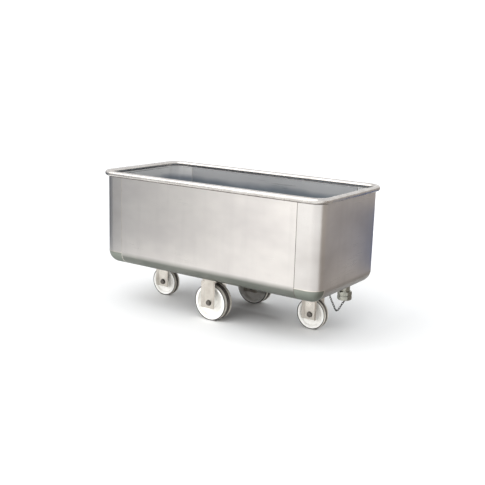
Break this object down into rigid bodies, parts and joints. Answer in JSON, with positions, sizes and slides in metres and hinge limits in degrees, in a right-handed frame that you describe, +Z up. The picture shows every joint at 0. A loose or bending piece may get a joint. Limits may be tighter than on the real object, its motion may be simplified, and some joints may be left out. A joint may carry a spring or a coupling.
{
  "type": "mobile milk tank",
  "caption": "Open stainless trough on casters, for bulk milk: rounded corners, tube rim, and a drain stub with a chained hex screw cap under one end.",
  "frame": {"origin": "floor under the middle of the tank", "axes": "+X along the tank towards the drain end, -Y the front, +Z up"},
  "size_m": [1.082, 0.512, 0.571],
  "materials": {
    "satin_stainless": "satin",
    "polished_stainless": "semi-bright",
    "turned_stainless": "turned",
    "pressed_stainless": "electropolished",
    "stainless_fastener": "plain",
    "nitrile_seal": "matt",
    "white_polyolefin": "moulded",
    "grey_tread": "matt",
    "nylon_bearing": "moulded"
  },
  "bodies": {
    "tank": {"trough_sheet": "satin_stainless", "end_panel_left": "satin_stainless", "end_panel_right": "satin_stainless", "corner_knuckle_front_left": "satin_stainless", "corner_knuckle_front_right": "satin_stainless", "corner_knuckle_back_left": "satin_stainless", "corner_knuckle_back_right": "satin_stainless", "rim_rails": "polished_stainless", "rim_bends": "polished_stainless", "drain_spud": "turned_stainless", "drain_collar": "turned_stainless", "cap_chain": "turned_stainless", "chain_tab": "turned_stainless", "caster_pad_front": "pressed_stainless", "caster_pad_back": "pressed_stainless", "caster_pad_left": "pressed_stainless", "caster_pad_right": "pressed_stainless", "rigid_yoke_front": "pressed_stainless", "rigid_yoke_back": "pressed_stainless", "top_plate_left": "pressed_stainless", "top_plate_right": "pressed_stainless", "plate_nuts_front": "stainless_fastener", "plate_nuts_back": "stainless_fastener", "plate_nuts_left": "stainless_fastener", "plate_nuts_right": "stainless_fastener", "axle_bolt_front": "stainless_fastener", "axle_bolt_back": "stainless_fastener", "axle_nut_front": "stainless_fastener", "axle_nut_back": "stainless_fastener", "axle_sleeve_front": "stainless_fastener", "axle_sleeve_back": "stainless_fastener", "kingpin_left": "stainless_fastener", "kingpin_right": "stainless_fastener"},
    "wheel_front": {"wheel_core_front": "white_polyolefin", "tread_front": "grey_tread", "hub_bearing_front": "nylon_bearing"},
    "wheel_back": {"wheel_core_back": "white_polyolefin", "tread_back": "grey_tread", "hub_bearing_back": "nylon_bearing"},
    "wheel_left": {"wheel_core_left": "white_polyolefin", "tread_left": "grey_tread", "hub_bearing_left": "nylon_bearing"},
    "wheel_right": {"wheel_core_right": "white_polyolefin", "tread_right": "grey_tread", "hub_bearing_right": "nylon_bearing"},
    "swivel_left": {"swivel_fork_left": "pressed_stainless", "swivel_balls_left": "stainless_fastener", "axle_bolt_left": "stainless_fastener", "axle_nut_left": "stainless_fastener", "axle_sleeve_left": "stainless_fastener"},
    "swivel_right": {"swivel_fork_right": "pressed_stainless", "swivel_balls_right": "stainless_fastener", "axle_bolt_right": "stainless_fastener", "axle_nut_right": "stainless_fastener", "axle_sleeve_right": "stainless_fastener"},
    "cap_slide": {"cap_eye": "turned_stainless", "cap_hook": "turned_stainless"},
    "screw_cap": {"drain_cap": "turned_stainless", "drain_gasket": "nitrile_seal"}
  },
  "joints": [
    {"name": "swivel_left", "type": "hinge", "parent": "tank", "child": "swivel_left", "pos_m": [-0.34492, 0, 0.15], "axis": [0, 0, 1], "continuous": true},
    {"name": "swivel_right", "type": "hinge", "parent": "tank", "child": "swivel_right", "pos_m": [0.34492, 0, 0.15], "axis": [0, 0, 1], "continuous": true},
    {"name": "roll_front", "type": "hinge", "parent": "tank", "child": "wheel_front", "pos_m": [0, -0.155, 0.076], "axis": [0, 1, 0], "continuous": true},
    {"name": "roll_back", "type": "hinge", "parent": "tank", "child": "wheel_back", "pos_m": [0, 0.155, 0.076], "axis": [0, 1, 0], "continuous": true},
    {"name": "roll_left", "type": "hinge", "parent": "swivel_left", "child": "wheel_left", "pos_m": [-0.37692, 0, 0.0635], "axis": [0, 1, 0], "continuous": true},
    {"name": "roll_right", "type": "hinge", "parent": "swivel_right", "child": "wheel_right", "pos_m": [0.37692, 0, 0.0635], "axis": [0, 1, 0], "continuous": true},
    {"name": "cap_lowering", "type": "slide", "parent": "tank", "child": "cap_slide", "axis": [0, 0, -1], "range_m": [0, 0.0092], "deforming": ["cap_chain"]},
    {"name": "cap_turning", "type": "hinge", "parent": "cap_slide", "child": "screw_cap", "pos_m": [0.44792, 0.131, 0.106], "axis": [0, 0, -1], "range_deg": [0, 1440]}
  ],
  "couplings": [
    {"joint": "cap_lowering", "follows": "cap_turning", "m_per_rad": 0.00036606}
  ]
}
